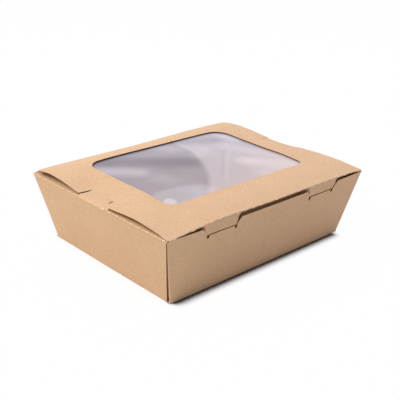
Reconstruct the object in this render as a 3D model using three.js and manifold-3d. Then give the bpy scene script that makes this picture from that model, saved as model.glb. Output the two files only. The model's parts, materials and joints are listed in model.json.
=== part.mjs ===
import * as THREE from 'three';
import { mergeVertices } from 'three/addons/utils/BufferGeometryUtils.js';
import Module from 'manifold-3d';

const wasm = await Module();
wasm.setup();

// Driving dimensions, in millimetres. Origin: middle of the base's underside.
const boxLength = 190;          // along X, over the rim
const boxDepth = 150;           // along Y, over the rim
const boxHeight = 50;           // floor to rim
const endTaper = 11;            // how far each end wall leans out
const sideTaper = 10;           // how far the front and back walls lean out
const board = 0.5;              // thickness of the kraft board
const clearance = 0.3;          // between one piece and the next

const flangeDepth = 16;         // end flange, folded in from the rim
const flangeDrop = 2.5;         // how far its free edge hangs below the rim
const flangeMitre = 12;         // its ends are cut back by this much at the free edge
const tongueBack = 18;          // tongue in the flange's middle: its side towards the hinge
const tongueFront = 15.5;       // its side towards the locks, at the rim
const tongueChamfer = 5.5;      // lead-in of that side
const tongueRise = 1.2;         // how far its tip stands over the rim
const notchDepth = 10;          // side notch of the lid, which shows the tongue
const glueFlapWidth = 22;       // corner flap behind each end wall
const glueFlapDrop = 4;         // from the rim down to the flap's top

const lockSpacing = 99;         // between the middles of the two front locks
const lockTopWidth = 34;
const lockBottomWidth = 25.5;
const lockDepth = 6.6;
const tuckDepth = 15;           // tuck flap of the lid, behind the front wall
const tuckLean = 18;            // degrees from upright
const tuckSetback = 1.2;        // its ends stay this far from the end walls
const tuckCornerCut = 9;        // its lower corners are cut back by this much

const windowLength = 131.5;
const windowDepth = 92;
const windowShift = 4;          // towards the hinge
const windowRadius = 11;
const film = 0.25;
const filmMargin = 7;           // glued band around the window

const crownRise = 31.5;         // how strongly the lid bows up between its edges
const frontLift = 2.3;          // the lid's front edge over the rim
const backLift = 2.2;           // the lid just in front of its crease
const crestWidth = 4.5;         // over which the lid climbs from the crease
const sideBackLift = 3.6;       // the lid's short edges behind the tongue
const sideFrontLift = 1.8;      // the same, in front of it

const rimX = boxLength / 2;
const rimY = boxDepth / 2;
const lidUnder = boxHeight + clearance;
const facetsX = 20;
const panelRows = 16;

// Height that the sprung lid adds at a point, over a flat lid.
function lidRise(x, y) {
  const across = Math.min(Math.abs(x) / rimX, 1);
  const back = THREE.MathUtils.clamp((rimY - y) / boxDepth, 0, 1);
  const crown = crownRise * back ** 0.6 * (1 - back) ** 1.3 * (1 - across ** 4) ** 1.6;
  const edges = 1 - across ** 14;
  const front = frontLift * back ** 4 * edges;
  const climb = Math.min(back * boxDepth / crestWidth, 1);
  const rear = backLift * (1 - back) ** 4 * edges * climb;
  const arc = Math.sin(Math.PI * Math.min(Math.abs(y) / rimY, 1));
  const side = (y > 0 ? sideBackLift : sideFrontLift) * arc * across ** 3;
  return crown + front + rear + side;
}

function solidOf(geometry) {
  const bare = geometry.index ? geometry.toNonIndexed() : geometry.clone();
  bare.deleteAttribute('normal');
  bare.deleteAttribute('uv');
  const merged = mergeVertices(bare, 1e-4);
  return new wasm.Manifold(new wasm.Mesh({
    numProp: 3,
    vertProperties: Float32Array.from(merged.attributes.position.array),
    triVerts: Uint32Array.from(merged.index.array),
  }));
}

function geometryOf(solid) {
  const mesh = solid.getMesh();
  const geometry = new THREE.BufferGeometry();
  geometry.setAttribute('position', new THREE.BufferAttribute(mesh.vertProperties, 3));
  geometry.setIndex(new THREE.BufferAttribute(mesh.triVerts, 1));
  geometry.computeVertexNormals();
  return geometry;
}

function outline(points) {
  return new THREE.Shape(points.map(([x, y]) => new THREE.Vector2(x, y)));
}

function plate(shape, thickness, curveSegments = 5) {
  return new THREE.ExtrudeGeometry(shape, { depth: thickness, bevelEnabled: false, curveSegments });
}

// Upright prism over a plan outline, from one height to another.
function post(shape, low, high) {
  return plate(shape, high - low).translate(0, 0, low);
}

// Block whose four sides slope from the base outline to the rim outline.
function taperedBlock(baseX, baseY, lowZ, topX, topY, highZ) {
  const geometry = new THREE.BoxGeometry(2, 2, highZ - lowZ).translate(0, 0, (lowZ + highZ) / 2);
  const position = geometry.attributes.position;
  for (let i = 0; i < position.count; i += 1) {
    const atTop = position.getZ(i) > (lowZ + highZ) / 2;
    position.setX(i, position.getX(i) * (atTop ? topX : baseX));
    position.setY(i, position.getY(i) * (atTop ? topY : baseY));
  }
  return geometry;
}

// Sheet that follows the lid's bowed form, in plan from one corner to the other.
function bowedSheet(lowX, highX, lowY, highY, underside, thickness) {
  const sheet = new THREE.BoxGeometry(highX - lowX, highY - lowY, thickness, facetsX, panelRows, 1);
  sheet.translate((lowX + highX) / 2, (lowY + highY) / 2, underside + thickness / 2);
  const position = sheet.attributes.position;
  for (let i = 0; i < position.count; i += 1) {
    position.setZ(i, position.getZ(i) + lidRise(position.getX(i), position.getY(i)));
  }
  return sheet;
}

function roundedWindow() {
  const x = windowLength / 2;
  const low = windowShift - windowDepth / 2;
  const high = windowShift + windowDepth / 2;
  const r = windowRadius;
  const shape = new THREE.Shape();
  shape.moveTo(-x + r, low);
  shape.lineTo(x - r, low);
  shape.absarc(x - r, low + r, r, -Math.PI / 2, 0);
  shape.lineTo(x, high - r);
  shape.absarc(x - r, high - r, r, 0, Math.PI / 2);
  shape.lineTo(-x + r, high);
  shape.absarc(-x + r, high - r, r, Math.PI / 2, Math.PI);
  shape.lineTo(-x, low + r);
  shape.absarc(-x + r, low + r, r, Math.PI, Math.PI * 1.5);
  return shape;
}

// Walls and floor: one tapered shell, open at the rim.
function trayShell() {
  const slantX = board * Math.hypot(endTaper, boxHeight) / boxHeight;
  const slantY = board * Math.hypot(sideTaper, boxHeight) / boxHeight;
  const over = 1;
  const insideX = (z) => rimX - endTaper * (1 - z / boxHeight) - slantX;
  const insideY = (z) => rimY - sideTaper * (1 - z / boxHeight) - slantY;
  const outer = taperedBlock(rimX - endTaper, rimY - sideTaper, 0, rimX, rimY, boxHeight);
  const inner = taperedBlock(insideX(board), insideY(board), board,
    insideX(boxHeight + over), insideY(boxHeight + over), boxHeight + over);
  return solidOf(outer).subtract(solidOf(inner));
}

// The two front locks are notches in the front wall's top edge.
function lockNotch(side) {
  const middle = side * lockSpacing / 2;
  const over = 2;
  const spread = (lockTopWidth - lockBottomWidth) / 2 * over / lockDepth;
  const shape = outline([
    [middle - lockBottomWidth / 2, boxHeight - lockDepth],
    [middle + lockBottomWidth / 2, boxHeight - lockDepth],
    [middle + lockTopWidth / 2 + spread, boxHeight + over],
    [middle - lockTopWidth / 2 - spread, boxHeight + over],
  ]);
  const reach = sideTaper;
  return solidOf(plate(shape, reach).rotateX(Math.PI / 2).translate(0, -rimY + reach / 2, 0));
}

// Plan of the tongue, or with room added of the notch that it shows in, from the rim inwards.
function tonguePlan(outerX, innerX, room) {
  const chamferX = outerX - Math.min(tongueChamfer, outerX - innerX);
  return outline([
    [outerX, -tongueFront - room],
    [outerX, tongueBack + room],
    [innerX, tongueBack - 1 + room],
    [innerX, -tongueFront + tongueChamfer - room],
    [chamferX, -tongueFront + tongueChamfer - room],
  ]);
}

// End flange: two mitred wings that sag below the rim, and the rising tongue between them.
function endFlange() {
  const edgeX = rimX - board / 2;
  const wingDepth = flangeDepth - 2;
  const end = rimY - board * 2;
  const wing = (near, far, mitre) => outline([
    [edgeX, near],
    [edgeX, far],
    [edgeX - wingDepth, far - mitre],
    [edgeX - wingDepth, near],
  ]);
  const level = boxHeight - board;
  const hung = (shape, drop) => solidOf(post(shape, 0, board).translate(-edgeX, 0, 0)
    .rotateY(-Math.atan2(drop, flangeDepth)).translate(edgeX, 0, level));
  return hung(wing(-tongueFront, -end, -flangeMitre), flangeDrop)
    .add(hung(wing(tongueBack, end, flangeMitre), flangeDrop))
    .add(hung(tonguePlan(edgeX, edgeX - flangeDepth, 0), -tongueRise));
}

// Flaps of the front and back walls, glued behind the end wall.
function glueFlaps() {
  const lean = Math.atan2(endTaper, boxHeight);
  const wallRun = Math.hypot(endTaper, boxHeight);
  const slant = sideTaper / boxHeight;
  const bottom = board / 2;
  const top = wallRun - glueFlapDrop;
  const edgeAt = (up) => -(rimY - sideTaper) - slant * up + board / 2;
  const flap = outline([
    [edgeAt(bottom), bottom],
    [edgeAt(bottom) + glueFlapWidth, bottom],
    [edgeAt(top) + glueFlapWidth, top],
    [edgeAt(top), top],
  ]);
  // Drawn across and up, then stood against the inside of the leaning wall.
  const standing = plate(flap, board).rotateX(Math.PI / 2).rotateZ(Math.PI / 2);
  standing.translate(-board * 1.98, 0, 0).rotateY(lean).translate(rimX - endTaper, 0, 0);
  const front = solidOf(standing);
  return front.add(front.mirror([0, 1, 0]));
}

function trayGeometry() {
  const end = endFlange().add(glueFlaps());
  const solid = trayShell()
    .subtract(lockNotch(-1))
    .subtract(lockNotch(1))
    .add(end)
    .add(end.mirror([1, 0, 0]));
  return geometryOf(solid);
}

// Side notch of the lid, a little larger than the tongue that shows in it.
function tongueNotch() {
  const over = 3;
  const shape = tonguePlan(rimX + over, rimX - notchDepth, clearance);
  return solidOf(post(shape, boxHeight - over, boxHeight + crownRise));
}

// Lid: one sheet, bowed over the rim, then folded down behind the front wall.
function foldedLid() {
  const rows = panelRows + 2;
  const lean = THREE.MathUtils.degToRad(tuckLean);
  const tuckHalf = rimX - board - clearance - tuckSetback;
  const crease = -(rimY - board - clearance);
  const sheet = new THREE.BoxGeometry(2, rows, 2, facetsX, rows, 1).translate(0, rows / 2, 0);
  const position = sheet.attributes.position;
  for (let i = 0; i < position.count; i += 1) {
    const row = rows - Math.round(position.getY(i));
    const outer = position.getZ(i) > 0;
    const folded = row - panelRows;
    const half = [rimX, tuckHalf, tuckHalf, tuckHalf - tuckCornerCut][Math.max(folded, -1) + 1];
    const x = position.getX(i) * half;
    if (folded < 0) {
      const y = THREE.MathUtils.lerp(rimY, crease, row / panelRows);
      position.setXYZ(i, x, y, lidUnder + lidRise(x, y) + (outer ? board : 0));
    } else {
      const down = tuckDepth * [0, 0.4, 1][folded];
      const inset = outer ? 0 : board;
      const creaseX = position.getX(i) * tuckHalf;
      const top = lidUnder + board + lidRise(creaseX, crease);
      const square = folded === 0 ? Math.PI / 4 : 0;
      position.setXYZ(i, x,
        crease + down * Math.sin(lean) + inset * (square ? 1 : Math.cos(lean)),
        top - down * Math.cos(lean) - inset * (square ? 1 : -Math.sin(lean)));
    }
  }
  return solidOf(sheet);
}

function lidGeometry() {
  const notch = tongueNotch();
  const opening = solidOf(post(roundedWindow(), boxHeight - 5, boxHeight + crownRise * 2));
  const solid = foldedLid()
    .subtract(opening)
    .subtract(notch)
    .subtract(notch.mirror([1, 0, 0]));
  return geometryOf(solid);
}

function filmGeometry() {
  const halfX = windowLength / 2 + filmMargin;
  const halfY = windowDepth / 2 + filmMargin;
  const sheet = bowedSheet(-halfX, halfX, windowShift - halfY, windowShift + halfY,
    lidUnder - clearance - film, film);
  return geometryOf(solidOf(sheet));
}

function piece(name, geometry, material) {
  const mesh = new THREE.Mesh(geometry, material);
  mesh.name = name;
  return mesh;
}

const kraft = new THREE.MeshStandardMaterial({ color: 0xd6ab82, roughness: 0.85, metalness: 0 });
const kraftLid = new THREE.MeshStandardMaterial({ color: 0xe2bd98, roughness: 0.85, metalness: 0 });
const clearFilm = new THREE.MeshStandardMaterial({
  color: 0xdcdae4, roughness: 0.12, metalness: 0, transparent: true, opacity: 0.35,
});

const windowBox = new THREE.Group();
windowBox.add(piece('tray', trayGeometry(), kraft));
windowBox.add(piece('lid', lidGeometry(), kraftLid));
windowBox.add(piece('window_film', filmGeometry(), clearFilm));

export default windowBox;
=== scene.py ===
import json
import math

import bpy
import numpy as np
from mathutils import Matrix, Vector


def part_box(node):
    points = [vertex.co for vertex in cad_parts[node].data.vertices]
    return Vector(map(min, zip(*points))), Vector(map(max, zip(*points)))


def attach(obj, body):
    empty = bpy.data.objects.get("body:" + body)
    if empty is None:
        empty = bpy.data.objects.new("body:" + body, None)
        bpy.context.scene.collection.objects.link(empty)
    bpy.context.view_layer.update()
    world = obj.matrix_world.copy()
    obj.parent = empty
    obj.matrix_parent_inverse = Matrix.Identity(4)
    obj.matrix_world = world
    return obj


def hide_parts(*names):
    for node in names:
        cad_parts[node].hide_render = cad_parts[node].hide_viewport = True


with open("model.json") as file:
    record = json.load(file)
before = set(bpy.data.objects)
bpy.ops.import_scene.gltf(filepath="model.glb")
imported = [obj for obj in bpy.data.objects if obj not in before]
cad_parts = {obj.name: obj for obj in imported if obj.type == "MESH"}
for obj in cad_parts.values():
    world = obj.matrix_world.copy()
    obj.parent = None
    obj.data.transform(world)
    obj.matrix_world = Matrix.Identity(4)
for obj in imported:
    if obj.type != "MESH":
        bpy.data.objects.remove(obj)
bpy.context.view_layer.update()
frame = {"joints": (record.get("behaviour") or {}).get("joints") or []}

mm = 0.001
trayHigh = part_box("tray")[1]
rimX = trayHigh.x / mm
rimY = trayHigh.y / mm
rimZ = frame["joints"][0]["pos_m"][2] / mm   # the hinge crease is at the rim

# Sizes below are in millimetres, and become metres when a mesh is made.
boardSizes = {
    "thickness": 0.45,
    "foldRadius": 1.0,
    "rimRadius": 0.8,          # of the rim creases of the end walls
    "sharpAngle": 35.0,
}


def placed(name, data):
    # New object, linked to the scene.
    made = bpy.data.objects.new(name, data)
    bpy.context.scene.collection.objects.link(made)
    return made


def smooth(low, high, value):
    # 0 at low and 1 at high, with a soft start and end.
    t = np.clip((np.asarray(value, float) - low) / (high - low), 0.0, 1.0)
    return t * t * (3 - 2 * t)


def curveThrough(places, values, at):
    # Smooth curve through values at rising places; each point may have values of its own.
    places = np.array(places, float)
    values = np.array(values, float)
    at = np.clip(at, places[0], places[-1])
    slopes = np.gradient(values, places, axis=0)
    start = np.clip(np.searchsorted(places, at) - 1, 0, len(places) - 2)

    def pick(table, row):
        return table[row] if table.ndim == 1 else np.take_along_axis(table, row[None], 0)[0]

    span = places[start + 1] - places[start]
    t = (at - places[start]) / span
    ends = (pick(values, start) * (1 + 2 * t) * (1 - t) ** 2
            + pick(values, start + 1) * t * t * (3 - 2 * t))
    bends = pick(slopes, start) * t * (1 - t) ** 2 - pick(slopes, start + 1) * t * t * (1 - t)
    return ends + span * bends


# Shader sockets that take plain arithmetic.
class Wire:
    def __init__(self, tree, socket):
        self.tree = tree
        self.socket = socket

    def node(self, kind, settings=None, **values):
        made = self.tree.nodes.new(kind)
        for name, value in (settings or {}).items():
            setattr(made, name, value)
        for name, value in values.items():
            target = made.inputs[int(name[1:])] if name[0] == "_" else made.inputs[name]
            if isinstance(value, Wire):
                value.feed(target)
            else:
                target.default_value = value
        return made

    def out(self, kind, settings=None, output=0, **values):
        return Wire(self.tree, self.node(kind, settings, **values).outputs[output])

    def feed(self, socket):
        self.tree.links.new(self.socket, socket)

    def maths(self, operation, first, second):
        return self.out("ShaderNodeMath", {"operation": operation}, _0=first, _1=second)

    def __add__(self, other):
        return self.maths("ADD", self, other)

    def __sub__(self, other):
        return self.maths("SUBTRACT", self, other)

    def __rsub__(self, other):
        return self.maths("SUBTRACT", other, self)

    def __mul__(self, other):
        return self.maths("MULTIPLY", self, other)

    def clamp(self):
        return self.out("ShaderNodeClamp", None, _0=self)

    def mixed(self, first, second):
        # Colour between two colours, with this value as the factor.
        return self.out("ShaderNodeMix", {"data_type": "RGBA"}, output=2, _0=self, _6=first, _7=second)


def newMaterial(name, roughness, **sockets):
    material = bpy.data.materials.new(name)
    material.use_nodes = True
    tree = material.node_tree
    shader = tree.nodes["Principled BSDF"]
    shader.inputs["Roughness"].default_value = roughness
    for socket, value in sockets.items():
        shader.inputs[socket.replace("_", " ")].default_value = value
    place = Wire(tree, tree.nodes.new("ShaderNodeTexCoord").outputs["Object"])
    return material, shader, place


def linear(red, green, blue):
    # Screen colour, 0 to 255, as a linear colour.
    def channel(value):
        value = value / 255
        return value / 12.92 if value <= 0.04045 else ((value + 0.055) / 1.055) ** 2.4
    return (channel(red), channel(green), channel(blue), 1)


def noiseAt(place, scale, detail=3.0, stretch=(1, 1, 1)):
    turned = place.out("ShaderNodeMapping", None, Vector=place, Scale=stretch)
    return place.out("ShaderNodeTexNoise", None, Vector=turned, Scale=scale, Detail=detail)


def contrasted(noise, contrast):
    # Noise with its contrast raised about the middle value, kept between 0 and 1.
    return (noise * contrast - (contrast - 1) / 2).clamp()


kraftLook = {
    "dark": (205, 166, 129),
    "light": (224, 188, 152),
    "fibre": (172, 132, 97),
    "paleFibre": (240, 214, 184),
    "mottle": 60.0,            # cloudy patches, per metre
    "mottleShare": 0.16,
    "grain": 1500.0,           # pulp grain, per metre
    "contrast": 3.0,
    "fibres": 900.0,
    "fibreFrom": 0.62,         # only noise above this shows as a fibre
    "fibreEdge": 9.0,
    "fibreShare": 0.18,
    "roughness": 0.68,
    "roughSpread": 0.2,
    "bump": 0.2,
    "bumpDepth": 0.0002,
}


def kraftMaterial():
    # Uncoated brown board: even pulp grain, faint clouds, short pale and dark fibres.
    material, shader, place = newMaterial("kraftOutside", kraftLook["roughness"], Specular_IOR_Level=0.35)
    mottle = noiseAt(place, kraftLook["mottle"], 5.0)
    grain = noiseAt(place, kraftLook["grain"], 2.0)
    contrast, share = kraftLook["contrast"], kraftLook["mottleShare"]
    tone = ((mottle - 0.5) * (contrast * share) + (grain - 0.5) * (contrast * (1 - share)) + 0.5).clamp()
    colour = tone.mixed(linear(*kraftLook["dark"]), linear(*kraftLook["light"]))
    along = noiseAt(place, kraftLook["fibres"], 1.0, (0.25, 1, 1))
    across = noiseAt(place, kraftLook["fibres"], 1.0, (1, 0.25, 0.5))
    for noise, name in ((along, "fibre"), (across, "paleFibre")):
        fibres = ((noise - kraftLook["fibreFrom"]) * kraftLook["fibreEdge"]).clamp()
        colour = (fibres * kraftLook["fibreShare"]).mixed(colour, linear(*kraftLook[name]))
    colour.feed(shader.inputs["Base Color"])
    (grain * kraftLook["roughSpread"] + kraftLook["roughness"]).feed(shader.inputs["Roughness"])
    bump = place.out("ShaderNodeBump", None, Strength=kraftLook["bump"],
                     Distance=kraftLook["bumpDepth"], Height=grain + along * 0.5)
    bump.feed(shader.inputs["Normal"])
    return material


insideLook = {
    "dark": (224, 219, 220),
    "light": (240, 237, 237),
    "cloud": 45.0,             # faint patches, per metre
    "contrast": 1.5,
    "roughness": 0.42,
    "roughSpread": 0.15,
}


def insideMaterial():
    # White coated inside of the board.
    material, shader, place = newMaterial("boardInside", insideLook["roughness"], Specular_IOR_Level=0.4)
    cloud = noiseAt(place, insideLook["cloud"])
    tone = contrasted(cloud, insideLook["contrast"])
    tone.mixed(linear(*insideLook["dark"]), linear(*insideLook["light"])).feed(shader.inputs["Base Color"])
    (cloud * insideLook["roughSpread"] + insideLook["roughness"]).feed(shader.inputs["Roughness"])
    return material


edgeLooks = {
    # cutEdge: fibre colour darkened with painted shade
    "cutEdge": {"dark": (104, 70, 48), "light": (148, 108, 76), "fray": 1500.0, "contrast": 2.0},
    "tornFibre": {"dark": (220, 183, 145), "light": (246, 217, 184), "fray": 1500.0, "contrast": 2.0},
}


def edgeMaterial(name):
    # Raw fibre of the board: between its two faces, or torn at a perforated crease. The cut edge's dark
    # colour is partly its fibre and partly painted shade of the thin edge and the gap beneath it.
    look = edgeLooks[name]
    material, shader, place = newMaterial(name, 0.9, Specular_IOR_Level=0.15)
    tone = contrasted(noiseAt(place, look["fray"], 2.0), look["contrast"])
    tone.mixed(linear(*look["dark"]), linear(*look["light"])).feed(shader.inputs["Base Color"])
    return material


filmLook = {
    # Painted reflection colours: a dark one, and a pale one that turns from the front colour to the back
    # colour.
    "dark": (142, 132, 144),
    "reflectionBack": (226, 220, 232),
    "reflectionFront": (240, 222, 220),
    "reflectionChange": 0.012,      # from the front light to the back light, per mm
    "tone": 0.62,
    "alpha": 0.8,
    "alphaSpread": 0.12,
    "roughness": 0.12,
    "drift": 7.0,              # how far the sweeps wander
    "driftScale": 14.0,        # per metre
    # Painted reflection: the film is darker inside one long curved edge, a circle round a centre off the
    # left-hand corner; foldRadius is that circle's radius.
    "reflectionArcCentre": (-128.4, 69.3),
    "foldRadius": 146.5,
    "reflectionArcEdge": 4.0,
    "reflectionArcDepth": 0.34,
    # Painted reflections, soft sweeps across the film: from, to, reach, and how much lighter.
    "reflectionSweeps": (
        ((-58, 50), (-8, 6), 17, -0.24),
        ((-70, 40), (-48, 12), 12, 0.28),
        ((-40, -6), (-34, -32), 16, 0.12),
        ((-28, 4), (-36, -24), 12, -0.06),
        ((-60, -34), (-40, -46), 24, 0.08),
        ((0, 50), (6, 36), 17, 0.2),
        ((8, 14), (26, 23), 11, 0.1),
        ((24, 44), (46, 36), 12, -0.2),
        ((60, 46), (62, 30), 9, 0.2),
        ((34, -16), (60, -40), 14, 0.28),
        ((30, -36), (40, -42), 15, 0.16),
        ((46, 20), (64, -26), 14, 0.14),
        # painted highlight and shade of a straight crease: light on one side and dark on the other
        ((41, 11), (-6, -31), 2.6, 0.07),
        ((37, 12), (-3, -24), 2.4, -0.05),
    ),
    # Painted highlight, a small bright spot: its middle, its reach, and how much lighter.
    "highlightSpot": ((-60, -36), 5.5, 0.3),
    "highlightSpotEdge": 3.0,
}


def sweepAt(x, y, start, end, reach):
    # 1 on the line from start to end, fading smoothly to 0 at a reach from it.
    runX, runY = end[0] - start[0], end[1] - start[1]
    squared = max(runX ** 2 + runY ** 2, 1e-6)
    offX, offY = x - start[0], y - start[1]
    along = (offX * (runX / squared) + offY * (runY / squared)).clamp()
    sideX, sideY = offX - along * runX, offY - along * runY
    near = (1 - (sideX * sideX + sideY * sideY) * (1 / reach ** 2)).clamp()
    return near * near


def filmMaterial():
    # Clear film whose colour and alpha carry painted reflections: cloudy light and dark sweeps, a darker
    # curved area, a bright spot, and a pale tone warmer at the front than at the back.
    material, shader, place = newMaterial("clearFilm", filmLook["roughness"], Specular_IOR_Level=0.2)
    parts = place.node("ShaderNodeSeparateXYZ", None, Vector=place)
    drift = (noiseAt(place, filmLook["driftScale"], 1.5) - 0.5) * filmLook["drift"]
    x = Wire(place.tree, parts.outputs[0]) * (1 / mm) + drift
    y = Wire(place.tree, parts.outputs[1]) * (1 / mm) - drift
    # Painted reflection: darker inside the long curved edge.
    offX, offY = x - filmLook["reflectionArcCentre"][0], y - filmLook["reflectionArcCentre"][1]
    radius = filmLook["foldRadius"]
    beyond = (offX * offX + offY * offY) * (1 / (2 * radius * filmLook["reflectionArcEdge"]))
    inReflectionArc = (radius / (2 * filmLook["reflectionArcEdge"]) + 0.5 - beyond).clamp()
    tone = filmLook["tone"] - inReflectionArc * filmLook["reflectionArcDepth"]
    # Painted reflections: each sweep makes the film lighter or darker.
    for start, end, reach, lighter in filmLook["reflectionSweeps"]:
        tone = tone + sweepAt(x, y, start, end, reach) * lighter
    # Painted highlight: the small bright spot.
    centre, reach, lighter = filmLook["highlightSpot"]
    tone = tone + (sweepAt(x, y, centre, centre, reach) * filmLook["highlightSpotEdge"]).clamp() * lighter
    tone = tone.clamp()
    # The pale painted reflection is warmer at the front and cooler at the back.
    toBack = (y * filmLook["reflectionChange"] + 0.5).clamp()
    light = toBack.mixed(linear(*filmLook["reflectionFront"]), linear(*filmLook["reflectionBack"]))
    tone.mixed(linear(*filmLook["dark"]), light).feed(shader.inputs["Base Color"])
    leastAlpha = filmLook["alpha"] - filmLook["alphaSpread"] / 2
    (tone * filmLook["alphaSpread"] + leastAlpha).feed(shader.inputs["Alpha"])
    return material


# Collects thick sheets and turns them into one mesh: outer faces, inner faces, cut edges.
class BoardMesh:
    def __init__(self):
        self.points = []
        self.faces = []
        self.slots = []

    def add(self, grid, thickness, closed=False, slots=(0, 1, 2)):
        grid = np.array(grid)
        rows, columns = grid.shape[:2]
        if closed:
            normal = np.zeros(grid.shape) + (0, 0, 1)
        else:
            normal = np.cross(np.gradient(grid, axis=1), np.gradient(grid, axis=0))
            normal /= np.maximum(np.linalg.norm(normal, axis=2, keepdims=True), 1e-9)
        inner = grid - normal * thickness
        top = len(self.points)
        under = top + rows * columns
        self.points += [tuple(p) for p in grid.reshape(-1, 3)] + [tuple(p) for p in inner.reshape(-1, 3)]
        spans = columns if closed else columns - 1
        for row in range(rows - 1):
            for column in range(spans):
                a = row * columns + column
                b = row * columns + (column + 1) % columns
                c, d = b + columns, a + columns
                self.put((top + a, top + b, top + c, top + d), slots[0])
                self.put((under + d, under + c, under + b, under + a), slots[1])
        for row, turned in ((0, False), (rows - 1, True)):
            for column in range(spans):
                a = row * columns + column
                b = row * columns + (column + 1) % columns
                self.wall(top + a, top + b, under + b, under + a, turned, slots[2])
        if not closed:
            for column, turned in ((0, True), (columns - 1, False)):
                for row in range(rows - 1):
                    a = row * columns + column
                    b = a + columns
                    self.wall(top + a, top + b, under + b, under + a, turned, slots[2])

    def wall(self, a, b, c, d, turned, slot):
        self.put((a, b, c, d) if turned else (d, c, b, a), slot)

    def put(self, face, slot):
        self.faces.append(face)
        self.slots.append(slot)

    def build(self, name, materials):
        mesh = bpy.data.meshes.new(name)
        mesh.from_pydata([tuple(c * mm for c in p) for p in self.points], [], self.faces)
        for material in materials:
            mesh.materials.append(material)
        mesh.polygons.foreach_set("material_index", self.slots)
        mesh.polygons.foreach_set("use_smooth", [True] * len(self.faces))
        mesh.set_sharp_from_angle(angle=math.radians(boardSizes["sharpAngle"]))
        mesh.validate()
        return placed(name, mesh)


lidSizes = {
    # Height of the closed lid over the rim: a row for each place from front to back,
    # and in it the left edge, the notch's depth, left of the window, the middle, right of it,
    # the notch's depth, the right edge.
    "acrossAt": (-93, -84, -66, 0, 66, 84, 93),
    "heights": {
        -74: (0.3, 1.0, 2.4, 2.4, 2.4, 2.0, 1.2),
        -60: (1.8, 2.4, 3.4, 4.2, 3.8, 3.4, 3.0),
        -43: (3.0, 3.4, 3.9, 4.5, 4.0, 3.9, 3.8),
        -20: (1.7, 2.2, 6.0, 7.1, 5.2, 4.8, 3.5),
        0: (0.8, 1.3, 6.1, 8.0, 5.4, 4.8, 2.6),
        20: (1.6, 2.0, 6.4, 8.4, 6.1, 5.0, 3.4),
        37: (3.9, 4.9, 6.8, 8.2, 6.9, 5.6, 5.0),
        55: (4.7, 5.2, 6.4, 7.2, 7.1, 6.2, 5.8),
        72: (2.2, 2.4, 2.6, 3.1, 4.6, 4.5, 4.4),
    },
    "creaseHeight": 0.45, "creaseRun": 3.2,   # the roll beside the hinge crease
    # from the rim in to the short edges, and how far the changes run along them
    "backInset": 5.0, "backRun": 7.0, "sideInset": 1.5, "frontInset": 0.7, "frontRun": 12.0,
    "notchDepth": 10.3, "notchRoom": 0.12, "slitRoom": 0.6, "slitTip": 0.35,
    "frontRadius": 0.6, "flapTurn": 80.0, "flapDepth": 15.0, "flapShort": 1.4, "flapNarrow": 0.09,
    "flapRecess": 6.0, "flapRun": 3.2, "flapBehind": 1.6, "lockRecess": 0.5,
    "rings": 22, "ringBunch": 1.3,            # the rings bunch up at the lid's edge
    # points along the lid's edge, and rows and columns of the tuck flap
    "sidePoints": 40, "notchPoints": 16, "backPoints": 70, "frontPoints": 90,
    "flapFold": 8, "flapRows": 44, "flapColumns": 261,
}


def lidRise(x, y):
    # Height of the closed lid's upper face over the rim.
    places = list(lidSizes["heights"])
    columns = [curveThrough(places, heights, y) for heights in zip(*lidSizes["heights"].values())]
    x, y = np.asarray(x, float), np.asarray(y, float)
    arched = curveThrough(lidSizes["acrossAt"], np.stack(columns), x)
    low = lidSizes["creaseHeight"]
    return low + (arched - low) * smooth(0, lidSizes["creaseRun"], rimY - y)


lockSizes = {
    "spacing": 99.0,
    "topHalf": 17.0,
    "bottomHalf": 12.7,
    "depth": 6.6,
    "dotHalf": 1.15,
    "dotShift": 0.3,           # towards the lock's middle, as a share of the hole's half width
    "dotDepth": 2.2,
    "rimDroop": 1.2,           # the free edge sinks between the corners
    "columns": 77, "dotColumns": 13, "cornerStep": 0.02,
}


def lockMiddles():
    return (-lockSizes["spacing"] / 2, lockSizes["spacing"] / 2)


def wallTopAt(x):
    # Top edge of the front wall, with its two locks and the round holes at their corners.
    top = rimZ - lockSizes["rimDroop"] * (1 - (x / rimX) ** 2)
    low = rimZ - lockSizes["depth"]
    shift = lockSizes["dotHalf"] * lockSizes["dotShift"]
    for middle in lockMiddles():
        off = abs(x - middle)
        if off < lockSizes["topHalf"]:
            slope = (lockSizes["topHalf"] - off) / (lockSizes["topHalf"] - lockSizes["bottomHalf"])
            top = min(top, rimZ - lockSizes["depth"] * min(slope, 1))
            fromDot = abs(off - lockSizes["bottomHalf"] + shift) / lockSizes["dotHalf"]
            if fromDot < 1:
                top = min(top, low - lockSizes["dotDepth"] * math.sqrt(1 - fromDot ** 2))
    return top


def lockColumns():
    # Places along the front wall that the locks and their round holes need.
    places = set(np.linspace(-rimX, rimX, lockSizes["columns"]).round(3))
    shift = lockSizes["dotHalf"] * lockSizes["dotShift"]
    for middle in lockMiddles():
        for side in (-1, 1):
            places.add(middle + side * lockSizes["topHalf"])
            places.add(middle + side * (lockSizes["topHalf"] - lockSizes["cornerStep"]))
            dot = middle + side * (lockSizes["bottomHalf"] - shift)
            for step in np.linspace(-1, 1, lockSizes["dotColumns"]):
                places.add(round(dot + step * lockSizes["dotHalf"], 3))
    return sorted(places)


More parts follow.
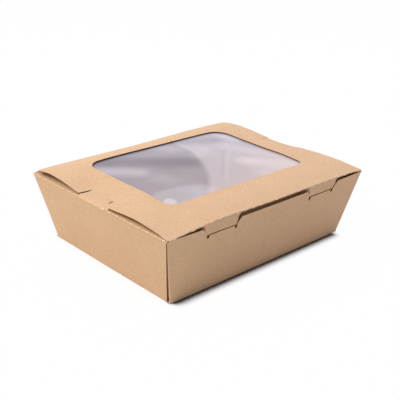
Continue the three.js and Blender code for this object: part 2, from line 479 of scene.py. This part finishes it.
traySizes = {
    "endTaper": 11.0, "sideTaper": 10.0,
    "frontLift": 0.3, "backLift": 0.2,         # the long base creases stand off the table
    "cornerDrop": 0.3,                         # from the rim down to the folded corners
    "glueFlap": 22.0, "glueDrop": 4.0,
    "glueSteps": (0.7, 1.6, 3.0, 8.0, 15.0),   # places along the glued flap
    "glueGap": 0.2, "glueGapLow": 1.5,         # glued flap to end wall, at the top and at the base
    "sideGapTop": 1.0, "sideGapBottom": 3.0,   # end wall's cut edge to the box corner
    "endSwell": 0.5,
    "flangeTurn": 78.0, "flangeInset": 0.4,
    "wingDepth": 14.0, "wingSag": 1.0, "wingMitre": 12.0,
    "wingRoom": (0.05, 0.1),                   # from the tongue to the back and the front wing
    "tongueBack": 18.0, "tongueFront": 15.3, "tongueDepth": 16.0, "tongueRun": 2.6,
    "tongueSink": (0.03, 0.9),                 # left and right tongue, below the lid at its notch
    "sinkRun": 3.5,
    "slitDrop": (0.9, 0.1),                    # and beside the slit at its back
    "slitRun": 2.5,
    "markDepth": 1.7,                          # dip in the tongue at the notch's front corner
    "chamferFrom": 1.5, "chamfer": 5.5,
    # rows and columns of the meshes
    "wallRows": 21, "wallColumns": 61, "cornerColumns": 7,
    "flangeFold": 6, "flangeRows": 38, "flangeColumns": 33,
    "floorRows": 31, "floorColumns": 41,
}


def wallPoint(x, up, flip, lift):
    # Point on the front wall, or with flip 1 the back wall, at a height.
    low = 1 - up / rimZ
    return np.array([x * (1 - traySizes["endTaper"] / rimX * low),
                     flip * (rimY - traySizes["sideTaper"] * low), max(up, 0) + lift * low])


def longWall(flip):
    # Front or back wall, folded round both corners into its glue flaps.
    columns = lockColumns() if flip < 0 else np.linspace(-rimX, rimX, traySizes["wallColumns"])
    radius = boardSizes["foldRadius"]
    lift = traySizes["frontLift" if flip < 0 else "backLift"]
    top = rimZ - traySizes["cornerDrop"]
    grid = []
    for share in np.linspace(0, 1, traySizes["wallRows"]):
        ends = []
        for side in (-1, 1):
            inset = boardSizes["thickness"] + traySizes["glueGap"]
            edge = wallPoint(side * rimX, share * top, flip, lift)
            foot = edge + np.array([-side * radius, -flip * radius, 0])
            corner = []
            for turn in np.linspace(0, math.pi / 2, traySizes["cornerColumns"]):
                bend = [side * math.sin(turn) * (radius - inset), flip * math.cos(turn) * radius, 0]
                corner.append(foot + np.array(bend))
            gapLow = traySizes["glueGapLow"] * (1 - share) ** 0.6
            for step in (*traySizes["glueSteps"], traySizes["glueFlap"]):
                drop = traySizes["glueDrop"] * smooth(1.5, 6.0, step)
                back = inset + gapLow * smooth(0.3, 1.8, step)
                point = wallPoint(side * rimX, share * (top - drop), flip, lift)
                corner.append(point + np.array([-side * back, -flip * (radius + step), 0]))
            ends.append(corner)
        middle = [wallPoint(x, share * (wallTopAt(x) if flip < 0 else rimZ), flip, lift)
                  for x in columns if abs(x) < rimX - radius * 1.4]
        grid.append(ends[0][::-1] + middle + ends[1])
    grid = np.array(grid)
    return grid if flip < 0 else grid[:, ::-1]


def endWall(side):
    # End wall from the base crease to the rim crease.
    grid = []
    for share in np.linspace(0, 1, traySizes["wallRows"]):
        z = share * (rimZ - boardSizes["rimRadius"])
        lean = traySizes["endTaper"] * (1 - z / rimZ)
        gap = traySizes["sideGapBottom"] * (1 - share) + traySizes["sideGapTop"] * share
        half = rimY - traySizes["sideTaper"] * (1 - z / rimZ) - gap
        swell = traySizes["endSwell"] * math.sin(math.pi * share) ** 2
        line = []
        for place in np.linspace(-1, 1, traySizes["wallColumns"]):
            lift = traySizes["frontLift"] * smooth(0.2, -1.0, place) * (1 - share)
            line.append([side * (rimX - lean + swell * (1 - place ** 2)), place * half, z + lift])
        grid.append(line)
    grid = np.array(grid)
    return grid[:, ::-1] if side < 0 else grid


def tongueSides(inward):
    # Back and front side of the tongue at a distance in from the rim.
    lead = min(max(inward - traySizes["chamferFrom"], 0), traySizes["chamfer"])
    return traySizes["tongueBack"], lead - traySizes["tongueFront"]


def tongueHeight(x, y, inward, low, high):
    # Tongue's upper face: up from the crease, level with the lid, then under it.
    hand = 0 if x < 0 else 1
    level = rimZ - 0.1 + (float(lidRise(x, y)) + 0.1) * smooth(0, traySizes["tongueRun"], inward)
    edge = lidSizes["notchDepth"] - boardSizes["rimRadius"]
    sink = traySizes["tongueSink"][hand] * smooth(edge - traySizes["sinkRun"], edge, inward)
    sink = sink + (boardSizes["thickness"] + 0.1) * smooth(edge, edge + 0.9, inward)
    mark = traySizes["markDepth"] * smooth(low + 3, low + 1, y)
    mark = mark * smooth(edge - 4, edge - 2, inward) * smooth(edge + 1, edge, inward)
    slit = traySizes["slitDrop"][hand] * smooth(high - traySizes["slitRun"], high, y)
    slit = slit * smooth(1.0, 3.0, inward)
    return level - sink - mark - slit


def flange(side, kind):
    # Strip that turns in from an end wall's rim crease: the tongue or one of the two wings.
    radius = boardSizes["rimRadius"]
    outer = rimY - traySizes["flangeInset"]
    backRoom, frontRoom = traySizes["wingRoom"]
    reach = traySizes["tongueDepth"] if kind == "tongue" else traySizes["wingDepth"]
    fullTurn = math.radians(traySizes["flangeTurn"])
    turns = [("turn", turn) for turn in np.linspace(0, fullTurn, traySizes["flangeFold"])]
    steps = [("run", step) for step in np.linspace(0.4, reach, traySizes["flangeRows"])]
    grid = []
    for mode, value in turns + steps:
        inward = value if mode == "run" else 0.0
        share = inward / reach
        high, low = tongueSides(inward)
        if kind == "back wing":
            low, high = traySizes["tongueBack"] + backRoom, outer - traySizes["wingMitre"] * share ** 2
        elif kind == "front wing":
            low, high = traySizes["wingMitre"] * share ** 2 - outer, -traySizes["tongueFront"] - frontRoom
        line = []
        for y in np.linspace(low, high, traySizes["flangeColumns"]):
            if mode == "turn":
                x = rimX - radius + radius * math.cos(value)
                z = rimZ - radius + radius * math.sin(value)
            else:
                x = rimX - radius - value
                z = (tongueHeight(side * x, y, value, low, high) if kind == "tongue"
                     else rimZ - traySizes["wingSag"] * share ** 0.8)
            line.append([side * x, y, z])
        grid.append(line)
    grid = np.array(grid)
    return grid[:, ::-1] if side < 0 else grid


def floorPanel():
    # Base panel, its front and back creases a little off the table.
    halfX = rimX - traySizes["endTaper"]
    halfY = rimY - traySizes["sideTaper"]

    def lift(v):
        return traySizes["frontLift"] * smooth(0.2, -1.0, v) + traySizes["backLift"] * smooth(0.5, 1.0, v)

    return [[[u * halfX, v * halfY, lift(v)] for u in np.linspace(1, -1, traySizes["floorColumns"])]
            for v in np.linspace(-1, 1, traySizes["floorRows"])]


def trayPiece(materials):
    sheet = BoardMesh()
    board = boardSizes["thickness"]
    sheet.add(floorPanel(), board)
    for flip in (-1, 1):
        sheet.add(longWall(flip), board)
    for side in (-1, 1):
        sheet.add(endWall(side), board)
        for kind in ("tongue", "back wing", "front wing"):
            sheet.add(flange(side, kind), board)
    return sheet.build("tray_board", materials)


windowSizes = {
    "halfX": 65.9,
    "backY": 49.6,
    "frontY": -42.7,
    # corner radii: front right, back right, back left, front left
    "radii": (6.5, 12.0, 11.0, 9.0),
    "edgeBow": 0.8,            # the right edge bows out a little
}


def windowPoint(side, place):
    # Point on the window's rim; side 0 to 3 is right, back, left, front, place runs -1 to 1 along it.
    halfX = windowSizes["halfX"]
    halfY = (windowSizes["backY"] - windowSizes["frontY"]) / 2
    middleY = (windowSizes["backY"] + windowSizes["frontY"]) / 2
    radius = windowSizes["radii"][(side + (1 if place > 0 else 0)) % 4]
    span, depth = (halfY, halfX) if side % 2 == 0 else (halfX, halfY)
    straight = span - radius
    run = abs(place) * (straight + radius * math.pi / 4)
    turn = max(run - straight, 0) / radius
    along = math.copysign(min(run, straight) + radius * math.sin(turn), place)
    out = depth - radius * (1 - math.cos(turn))
    if side == 0:
        out += windowSizes["edgeBow"] * (1 - place ** 2)
    x, y = [(out, along), (-along, out), (-out, -along), (along, -out)][side]
    return np.array([x, y + middleY])


def lidOutline():
    # Pairs of an outer point and the side and place on the window that it belongs to.
    front = -(rimY - lidSizes["frontRadius"])
    notch = rimX - lidSizes["notchDepth"]
    room = lidSizes["notchRoom"]
    frontRim = tongueSides(0)[1] - room
    backDeep, frontDeep = tongueSides(lidSizes["notchDepth"])
    chamferX = rimX - traySizes["chamferFrom"] - traySizes["chamfer"]
    slit = backDeep + lidSizes["slitRoom"]

    def edgeX(y):
        toFront = smooth(front + lidSizes["frontRun"], front, y)
        toBack = smooth(rimY - lidSizes["backRun"], rimY, y)
        inset = lidSizes["sideInset"] - (lidSizes["sideInset"] - lidSizes["frontInset"]) * toFront
        return rimX - inset - (lidSizes["backInset"] - inset) * toBack

    def sidePairs(side):
        sign = 1 if side == 0 else -1
        count = lidSizes["sidePoints"]
        spots = [(edgeX(y), y) for y in np.linspace(front, frontRim, count)]
        spots += [(chamferX, frontDeep - room), (notch, frontDeep - room)]
        spots += [(notch, y) for y in np.linspace(frontDeep, backDeep, lidSizes["notchPoints"])[1:-1]]
        spots += [(notch, slit - lidSizes["slitTip"])]
        spots += [(edgeX(y), y) for y in np.linspace(slit, rimY, count)]
        found = [(np.array([sign * x, y]), side, y / rimY * sign) for x, y in spots]
        return found if sign > 0 else found[::-1]

    pairs = sidePairs(0)
    pairs += [(np.array([x, rimY]), 1, -x / edgeX(rimY))
              for x in np.linspace(edgeX(rimY), -edgeX(rimY), lidSizes["backPoints"])[1:-1]]
    pairs += sidePairs(2)
    pairs += [(np.array([x, front]), 3, x / edgeX(front))
              for x in np.linspace(-edgeX(front), edgeX(front), lidSizes["frontPoints"])[1:-1]]
    return pairs


def lidPanel():
    # Rings of points from the window's rim out to the lid's edge.
    pairs = lidOutline()
    shares = 1 - np.linspace(0, 1, lidSizes["rings"]) ** lidSizes["ringBunch"]
    grid = np.zeros((len(shares), len(pairs), 3))
    for column, (outer, side, place) in enumerate(pairs):
        inner = windowPoint(side, max(-1, min(1, place)))
        grid[:, column, :2] = inner + shares[:, None] * (outer - inner)
    grid[:, :, 2] = rimZ + lidRise(grid[:, :, 0], grid[:, :, 1])
    return grid


def tuckFlap():
    # Front flap: turns down at the crease, shows in the locks and runs on behind the front wall.
    radius = lidSizes["frontRadius"]
    half = rimX - lidSizes["flapShort"]
    crease = -(rimY - radius)
    low = rimZ - lockSizes["depth"]
    fullTurn = math.radians(lidSizes["flapTurn"])
    turns = [("turn", turn) for turn in np.linspace(0, fullTurn, lidSizes["flapFold"])]
    steps = [("down", step) for step in np.linspace(0.3, lidSizes["flapDepth"], lidSizes["flapRows"])]
    grid = []
    for mode, value in turns + steps:
        line = []
        for place in np.linspace(-1, 1, lidSizes["flapColumns"]):
            x = place * half
            crest = rimZ + float(lidRise(x, crease))
            if mode == "turn":
                line.append([x, crease - radius * math.sin(value), crest - radius * (1 - math.cos(value))])
                continue
            inLock = max(1 - smooth(lockSizes["topHalf"] - 3.0, lockSizes["topHalf"] + 0.5, abs(x - middle))
                         for middle in lockMiddles())
            z = crest - radius - value
            wall = traySizes["sideTaper"] * (1 - z / rimZ) - rimY
            recess = lidSizes["flapRecess"] * (1 - inLock) * smooth(-0.4, lidSizes["flapRun"], value)
            behind = (boardSizes["thickness"] + lidSizes["flapBehind"]) * smooth(low + 0.7, low - 0.9, z)
            narrow = 1 - lidSizes["flapNarrow"] * smooth(5, lidSizes["flapDepth"], value) * abs(place) ** 6
            sunk = lidSizes["lockRecess"] * smooth(0, 2, value)
            line.append([x * narrow, wall + 0.1 + max(recess, behind, sunk), z])
        grid.append(line)
    return np.array(grid)[::-1]


def lidPiece(materials):
    sheet = BoardMesh()
    sheet.add(lidPanel(), boardSizes["thickness"], closed=True)
    sheet.add(tuckFlap(), boardSizes["thickness"])
    return sheet.build("lid_board", materials)


filmSizes = {
    "margin": 7.0,
    "thickness": 0.12,
    "depth": 0.75,             # the film stands off the board at the window's rim
    "wave": 0.7,
    "sag": 0.3,
    # each wave: along x and along y, its shift, its share
    "waves": ((0.045, 0.06, 0.6, 1.0), (0.09, -0.05, 2.0, 0.6)),
    "rows": 81, "columns": 111,
}


def filmPiece(material):
    # Film glued under the window's rim, slack and slightly wavy in the middle.
    halfX = windowSizes["halfX"] + filmSizes["margin"]
    low = windowSizes["frontY"] - filmSizes["margin"]
    high = windowSizes["backY"] + filmSizes["margin"]
    x, y = np.meshgrid(np.linspace(-halfX, halfX, filmSizes["columns"]),
                       np.linspace(low, high, filmSizes["rows"]))
    u = np.clip(x / windowSizes["halfX"], -1, 1)
    v = np.clip((2 * y - windowSizes["frontY"] - windowSizes["backY"])
                / (windowSizes["backY"] - windowSizes["frontY"]), -1, 1)
    free = (1 - u ** 2) * (1 - v ** 2)
    waves = sum(share * np.sin(x * alongX + y * alongY + shift)
                for alongX, alongY, shift, share in filmSizes["waves"])
    z = rimZ + lidRise(x, y) - boardSizes["thickness"] - filmSizes["depth"]
    z = z + free ** 0.8 * (filmSizes["wave"] * waves - filmSizes["sag"])
    sheet = BoardMesh()
    sheet.add(np.dstack([x, y, z]), filmSizes["thickness"], slots=(0, 0, 0))
    return sheet.build("film_sheet", [material])


nickSizes = {
    "pitch": 7.4,
    "length": 3.0,
    "width": 1.2,
    "height": 1.2,
    "parts": 8,
    "least": 0.6,              # scale of the smallest nick, and of the largest
    "most": 1.25,
    "seed": 4,
    "endRoom": 3.0,            # from a corner to the first nick, at the ends and at the front
    "frontRoom": 6.0,
}


def nickMesh():
    # One torn fibre bridge of a perforated crease, along +X.
    points = []
    faces = []
    ends = nickSizes["parts"]
    for i in range(ends + 1):
        swell = 0.15 + 0.85 * math.sin(math.pi * i / ends) ** 0.7
        x = (i / ends - 0.5) * nickSizes["length"] * mm
        w = nickSizes["width"] * mm * swell / 2
        h = nickSizes["height"] * mm * swell / 2
        points += [(x, -w, 0), (x, 0, h), (x, w, 0), (x, 0, -h)]
    for a in range(0, ends * 4, 4):
        faces += [(a + i, a + (i + 1) % 4, a + 4 + (i + 1) % 4, a + 4 + i) for i in range(4)]
    faces += [(3, 2, 1, 0), tuple(ends * 4 + i for i in range(4))]
    mesh = bpy.data.meshes.new("nickShape")
    mesh.from_pydata(points, [], faces)
    return placed("nickShape", mesh)


def nickTree(shape, material):
    # Geometry Nodes: a nick at even steps along each crease.
    tree = bpy.data.node_groups.new("perforatedCrease", "GeometryNodeTree")
    tree.interface.new_socket("Crease", in_out="INPUT", socket_type="NodeSocketGeometry")
    for name in ("Pitch", "Least", "Most"):
        tree.interface.new_socket(name, in_out="INPUT", socket_type="NodeSocketFloat")
    tree.interface.new_socket("Nicks", in_out="OUTPUT", socket_type="NodeSocketGeometry")
    nodes, links = tree.nodes, tree.links
    start = nodes.new("NodeGroupInput")
    end = nodes.new("NodeGroupOutput")
    curve = nodes.new("GeometryNodeMeshToCurve")
    spaced = nodes.new("GeometryNodeCurveToPoints")
    spaced.mode = "LENGTH"
    info = nodes.new("GeometryNodeObjectInfo")
    info.inputs["Object"].default_value = shape
    turn = nodes.new("FunctionNodeAlignRotationToVector")
    turn.axis = "X"
    place = nodes.new("GeometryNodeInstanceOnPoints")
    grow = nodes.new("FunctionNodeRandomValue")
    grow.inputs["Seed"].default_value = nickSizes["seed"]
    real = nodes.new("GeometryNodeRealizeInstances")
    paint = nodes.new("GeometryNodeSetMaterial")
    paint.inputs["Material"].default_value = material
    links.new(start.outputs["Crease"], curve.inputs[0])
    links.new(curve.outputs[0], spaced.inputs["Curve"])
    links.new(start.outputs["Pitch"], spaced.inputs["Length"])
    links.new(start.outputs["Least"], grow.inputs[2])
    links.new(start.outputs["Most"], grow.inputs[3])
    links.new(spaced.outputs["Tangent"], turn.inputs["Vector"])
    links.new(spaced.outputs["Points"], place.inputs["Points"])
    links.new(info.outputs["Geometry"], place.inputs["Instance"])
    links.new(turn.outputs["Rotation"], place.inputs["Rotation"])
    links.new(grow.outputs[1], place.inputs["Scale"])
    links.new(place.outputs["Instances"], real.inputs[0])
    links.new(real.outputs[0], paint.inputs[0])
    links.new(paint.outputs[0], end.inputs[0])
    return tree


def nickPiece(name, paths, tree):
    # Plain mesh of the nicks along a few crease lines.
    points = []
    edges = []
    for path in paths:
        edges += [(len(points) + i, len(points) + i + 1) for i in range(len(path) - 1)]
        points += [tuple(c * mm for c in p) for p in path]
    mesh = bpy.data.meshes.new(name + "Path")
    mesh.from_pydata(points, edges, [])
    carrier = placed(name + "Path", mesh)
    modifier = carrier.modifiers.new("nicks", "NODES")
    modifier.node_group = tree
    inputs = {"Pitch": nickSizes["pitch"] * mm, "Least": nickSizes["least"], "Most": nickSizes["most"]}
    for item in tree.interface.items_tree:
        if item.name in inputs:
            modifier[item.identifier] = inputs[item.name]
    shown = carrier.evaluated_get(bpy.context.evaluated_depsgraph_get())
    result = bpy.data.meshes.new_from_object(shown)
    bpy.data.objects.remove(carrier)
    return placed(name, result)


def creasePaths():
    # Rim creases of both end walls, and the lid's front crease.
    endRoom, frontRoom = nickSizes["endRoom"], nickSizes["frontRoom"]
    ends = [[[side * (rimX - 0.15), y, rimZ - 0.2] for y in np.linspace(endRoom - rimY, rimY - endRoom, 50)]
            for side in (-1, 1)]
    radius = lidSizes["frontRadius"]
    crease = -(rimY - radius)
    front = [[x, crease - radius * 0.8, rimZ + float(lidRise(x, crease)) - radius * 0.5]
             for x in np.linspace(frontRoom - rimX, rimX - frontRoom, 80)]
    return ends, [front]


view = {
    "azimuth": -43.1, "elevation": 22.45, "roll": 1.39, "distance": 536.1,
    "target": (4.48, 4.40, 25.0), "focalPixels": 711.15, "imagePixels": 400.0, "sensor": 36.0,
}


def makeCamera():
    a = math.radians(view["azimuth"])
    e = math.radians(view["elevation"])
    roll = math.radians(view["roll"])
    back = Vector((math.sin(a) * math.cos(e), -math.cos(a) * math.cos(e), math.sin(e)))
    place = (Vector(view["target"]) + back * view["distance"]) * mm
    right = (-back).cross(Vector((0, 0, 1))).normalized()
    up = right.cross(-back)
    turnedRight = right * math.cos(roll) + up * math.sin(roll)
    turnedUp = up * math.cos(roll) - right * math.sin(roll)
    data = bpy.data.cameras.new("photoCamera")
    data.sensor_width = view["sensor"]
    data.lens = view["focalPixels"] / view["imagePixels"] * view["sensor"]
    data.clip_start = 0.01
    camera = placed("photoCamera", data)
    turned = Matrix((turnedRight, turnedUp, back)).transposed().to_4x4()
    camera.matrix_world = Matrix.Translation(place) @ turned
    bpy.context.scene.camera = camera


# Places and sizes of the lamps are in metres.
lampTarget = (0, 0, 0.03)
lamps = {
    "keyLamp": {"place": (-1.05, 0.78, 1.32), "size": 1.05, "power": 25.5, "colour": (1, 0.95, 0.88)},
    "topLamp": {"place": (0.60, 0.42, 0.9), "size": 0.7, "power": 3.6, "colour": (0.72, 0.82, 1)},
    "fillLamp": {"place": (1.1, -0.6, 0.6), "size": 1.0, "power": 3.0, "colour": (1, 0.92, 0.98)},
}


def makeLamp(name, settings):
    data = bpy.data.lights.new(name, "AREA")
    data.shape = "DISK"
    data.size = settings["size"]
    data.energy = settings["power"]
    data.color = settings["colour"]
    place = Vector(settings["place"])
    aim = Vector(lampTarget) - place
    turned = aim.to_track_quat("-Z", "Y").to_matrix().to_4x4()
    placed(name, data).matrix_world = Matrix.Translation(place) @ turned


stage = {
    "reach": 3.0,
    "floor": (0.8, 0.8, 0.8, 1),
    # painted shadow colour of the floor under the walls
    "contact": (0.05, 0.03, 0.03, 1),
    "glow": 0.985,             # how much of the floor shows as plain white
    "contactReach": 0.012,     # the contact shadow under the walls stays this close
    "contactFrom": 0.5,
    "contactEdge": 3.2,
    "sideContact": 0.08,       # and is this strong where the key lamp reaches
    # Full strength only in a band under the front wall: its ends beside the base, in mm.
    "bandBack": 7.0, "bandLeft": 2.0, "bandRight": 1.0,
    "bandFade": 200.0,         # they fade over 5 mm
    "worldLight": 0.44,
}


def seenDirectly(tree):
    # 1 for what the camera, a gloss or a clear surface looks at, 0 for light on the object.
    ray = tree.nodes.new("ShaderNodeLightPath")
    seen = Wire(tree, ray.outputs["Is Camera Ray"]) + Wire(tree, ray.outputs["Is Glossy Ray"])
    return (seen + Wire(tree, ray.outputs["Is Transmission Ray"])).clamp()


def blend(tree, share, first, second, output):
    # Shows the first shader, and the second one by its share.
    both = tree.nodes.new("ShaderNodeMixShader")
    share.feed(both.inputs[0])
    tree.links.new(first.outputs[0], both.inputs[1])
    tree.links.new(second.outputs[0], both.inputs[2])
    tree.links.new(both.outputs[0], tree.nodes[output].inputs["Surface"])


def makeFloor():
    # White floor with a painted contact shadow: near the walls its base colour turns to the contact colour,
    # fully only in a band under the front wall.
    reach = stage["reach"]
    mesh = bpy.data.meshes.new("floor")
    mesh.from_pydata([(-reach, -reach, 0), (reach, -reach, 0), (reach, reach, 0), (-reach, reach, 0)],
                     [], [(0, 1, 2, 3)])
    floor = placed("floor", mesh)
    material = bpy.data.materials.new("whiteFloor")
    material.use_nodes = True
    tree = material.node_tree
    shader = tree.nodes["Principled BSDF"]
    shader.inputs["Roughness"].default_value = 0.9
    seen = seenDirectly(tree)
    place = seen.out("ShaderNodeTexCoord", output=3)
    parts = place.node("ShaderNodeSeparateXYZ", None, Vector=place)
    x, y = Wire(tree, parts.outputs[0]), Wire(tree, parts.outputs[1])
    baseX, baseY = rimX - traySizes["endTaper"], rimY - traySizes["sideTaper"]
    fade = stage["bandFade"]
    inFront = ((stage["bandBack"] - baseY) * mm * fade - y * fade).clamp()
    inFront = inFront * (x * fade + (baseX + stage["bandLeft"]) * mm * fade).clamp()
    inFront = inFront * ((baseX - stage["bandRight"]) * mm * fade - x * fade).clamp()
    near = seen.out("ShaderNodeAmbientOcclusion", {"samples": 8}, output=1, Distance=stage["contactReach"])
    lit = ((near - stage["contactFrom"]) * stage["contactEdge"]).clamp()
    strength = inFront * (1 - stage["sideContact"]) + stage["sideContact"]
    clear = 1 - (1 - lit) * strength
    clear.mixed(stage["contact"], stage["floor"]).feed(shader.inputs["Base Color"])
    glow = tree.nodes.new("ShaderNodeEmission")
    blend(tree, seen * clear * stage["glow"], shader, glow, "Material Output")
    mesh.materials.append(material)


def makeWorld():
    # Even white light, and plain white behind the floor.
    world = bpy.data.worlds.new("studioWorld")
    bpy.context.scene.world = world
    world.use_nodes = True
    tree = world.node_tree
    light = tree.nodes["Background"]
    light.inputs["Color"].default_value = (1, 1, 1, 1)
    light.inputs["Strength"].default_value = stage["worldLight"]
    white = tree.nodes.new("ShaderNodeBackground")
    white.inputs["Color"].default_value = (1, 1, 1, 1)
    blend(tree, seenDirectly(tree), light, white, "World Output")


makeCamera()
makeFloor()
makeWorld()
for lampName, settings in lamps.items():
    makeLamp(lampName, settings)
bpy.context.scene.view_settings.view_transform = "Standard"
print("stage, camera and lamps are in place")

board = [kraftMaterial(), insideMaterial(), edgeMaterial("cutEdge")]
print("materials are ready")

tray = trayPiece(board)
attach(tray, "tray")
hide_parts("tray")
print("tray board", len(tray.data.polygons), "faces")

lid = lidPiece(board)
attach(lid, "lid")
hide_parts("lid")
print("lid board", len(lid.data.polygons), "faces")

film = filmPiece(filmMaterial())
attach(film, "lid")
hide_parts("window_film")
print("film", len(film.data.polygons), "faces")

nickShape = nickMesh()
perforation = nickTree(nickShape, edgeMaterial("tornFibre"))
endCreases, lidCreases = creasePaths()
trayNicks = nickPiece("tray_crease_nicks", endCreases, perforation)
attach(trayNicks, "tray")
lidNicks = nickPiece("lid_crease_nicks", lidCreases, perforation)
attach(lidNicks, "lid")
bpy.data.objects.remove(nickShape)
print("crease nicks", len(trayNicks.data.polygons) + len(lidNicks.data.polygons), "faces")
